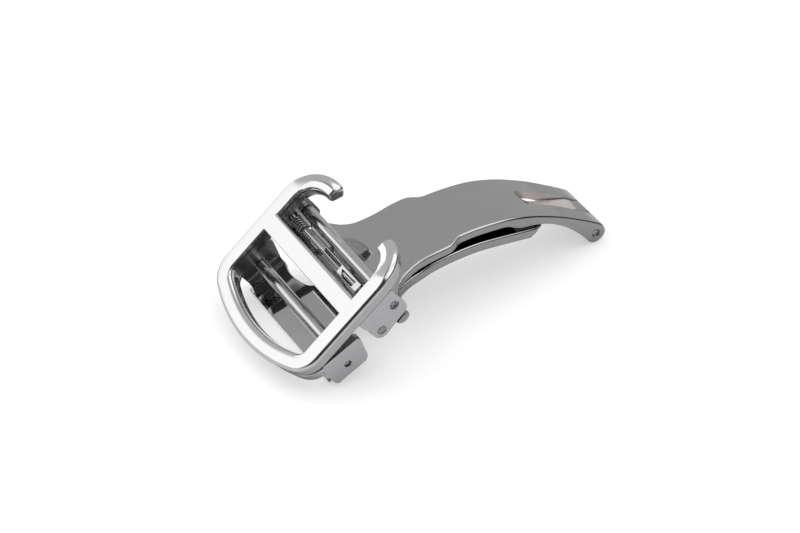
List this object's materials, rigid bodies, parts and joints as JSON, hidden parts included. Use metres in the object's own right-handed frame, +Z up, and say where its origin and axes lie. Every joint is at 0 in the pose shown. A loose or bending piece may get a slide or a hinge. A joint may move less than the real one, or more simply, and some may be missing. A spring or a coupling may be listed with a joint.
{
  "type": "deployant clasp",
  "caption": "Folding steel clasp for a leather watch strap: two curved blades that unfold, a hinged open cover with a strap bar, a latch and a cradle with a buckle bar.",
  "frame": {"origin": "middle of the strap bar", "axes": "+X along the blades towards the fold pin, +Y along the bars, +Z up from the table, clasp closed"},
  "size_m": [0.0453, 0.0206, 0.0138],
  "materials": {
    "polished_cover": "polished",
    "cover_side": "polished side",
    "plate_steel": "fine satin",
    "blade_steel": "fine satin",
    "bar_steel": "polished",
    "pin_steel": "turned",
    "spring_steel": "drawn wire"
  },
  "bodies": {
    "lower_blade": {"lower_blade": "blade_steel", "strap_cradle": "plate_steel", "buckle_bar_tube": "bar_steel", "buckle_bar_spring": "spring_steel"},
    "upper_blade": {"upper_blade": "blade_steel", "fold_pin": "pin_steel"},
    "cover": {"cover_frame": "polished_cover", "cover_band": "cover_side", "lug_near": "plate_steel", "lug_far": "plate_steel", "hinge_pin": "pin_steel", "latch_pin": "pin_steel", "strap_bar_tube": "bar_steel", "strap_bar_spring": "spring_steel", "latch_spring_near": "spring_steel", "latch_spring_far": "spring_steel"},
    "latch": {"latch_pawl": "bar_steel"},
    "strap_tip_near": {"strap_bar_tip_near": "pin_steel"},
    "strap_tip_far": {"strap_bar_tip_far": "pin_steel"},
    "buckle_tip_near": {"buckle_bar_tip_near": "pin_steel"},
    "buckle_tip_far": {"buckle_bar_tip_far": "pin_steel"}
  },
  "joints": [
    {"name": "fold_hinge", "type": "hinge", "parent": "lower_blade", "child": "upper_blade", "pos_m": [0.03078, 0, -0.00733], "axis": [0, 1, 0], "range_deg": [0, 170]},
    {"name": "cover_hinge", "type": "hinge", "parent": "upper_blade", "child": "cover", "pos_m": [-0.00155, 0, -0.00288], "axis": [0, 1, 0], "range_deg": [0, 6]},
    {"name": "latch_hinge", "type": "hinge", "parent": "cover", "child": "latch", "pos_m": [-0.00174, 0, -0.00036], "axis": [0, -1, 0], "range_deg": [0, 10], "stiffness_Nm_per_rad": 0.002, "springref_deg": -17.19, "deforming": ["latch_spring_near", "latch_spring_far"]},
    {"name": "strap_tip_near_slide", "type": "slide", "parent": "cover", "child": "strap_tip_near", "axis": [0, 1, 0], "range_m": [0, 0.00135], "stiffness_N_per_m": 500, "springref_m": -0.001, "deforming": ["strap_bar_spring"]},
    {"name": "strap_tip_far_slide", "type": "slide", "parent": "cover", "child": "strap_tip_far", "axis": [0, -1, 0], "range_m": [0, 0.00135], "stiffness_N_per_m": 500, "springref_m": -0.001, "deforming": ["strap_bar_spring"]},
    {"name": "buckle_tip_near_slide", "type": "slide", "parent": "lower_blade", "child": "buckle_tip_near", "axis": [0, 1, 0], "range_m": [0, 0.00082], "stiffness_N_per_m": 500, "springref_m": -0.001, "deforming": ["buckle_bar_spring"]},
    {"name": "buckle_tip_far_slide", "type": "slide", "parent": "lower_blade", "child": "buckle_tip_far", "axis": [0, -1, 0], "range_m": [0, 0.00082], "stiffness_N_per_m": 500, "springref_m": -0.001, "deforming": ["buckle_bar_spring"]}
  ]
}
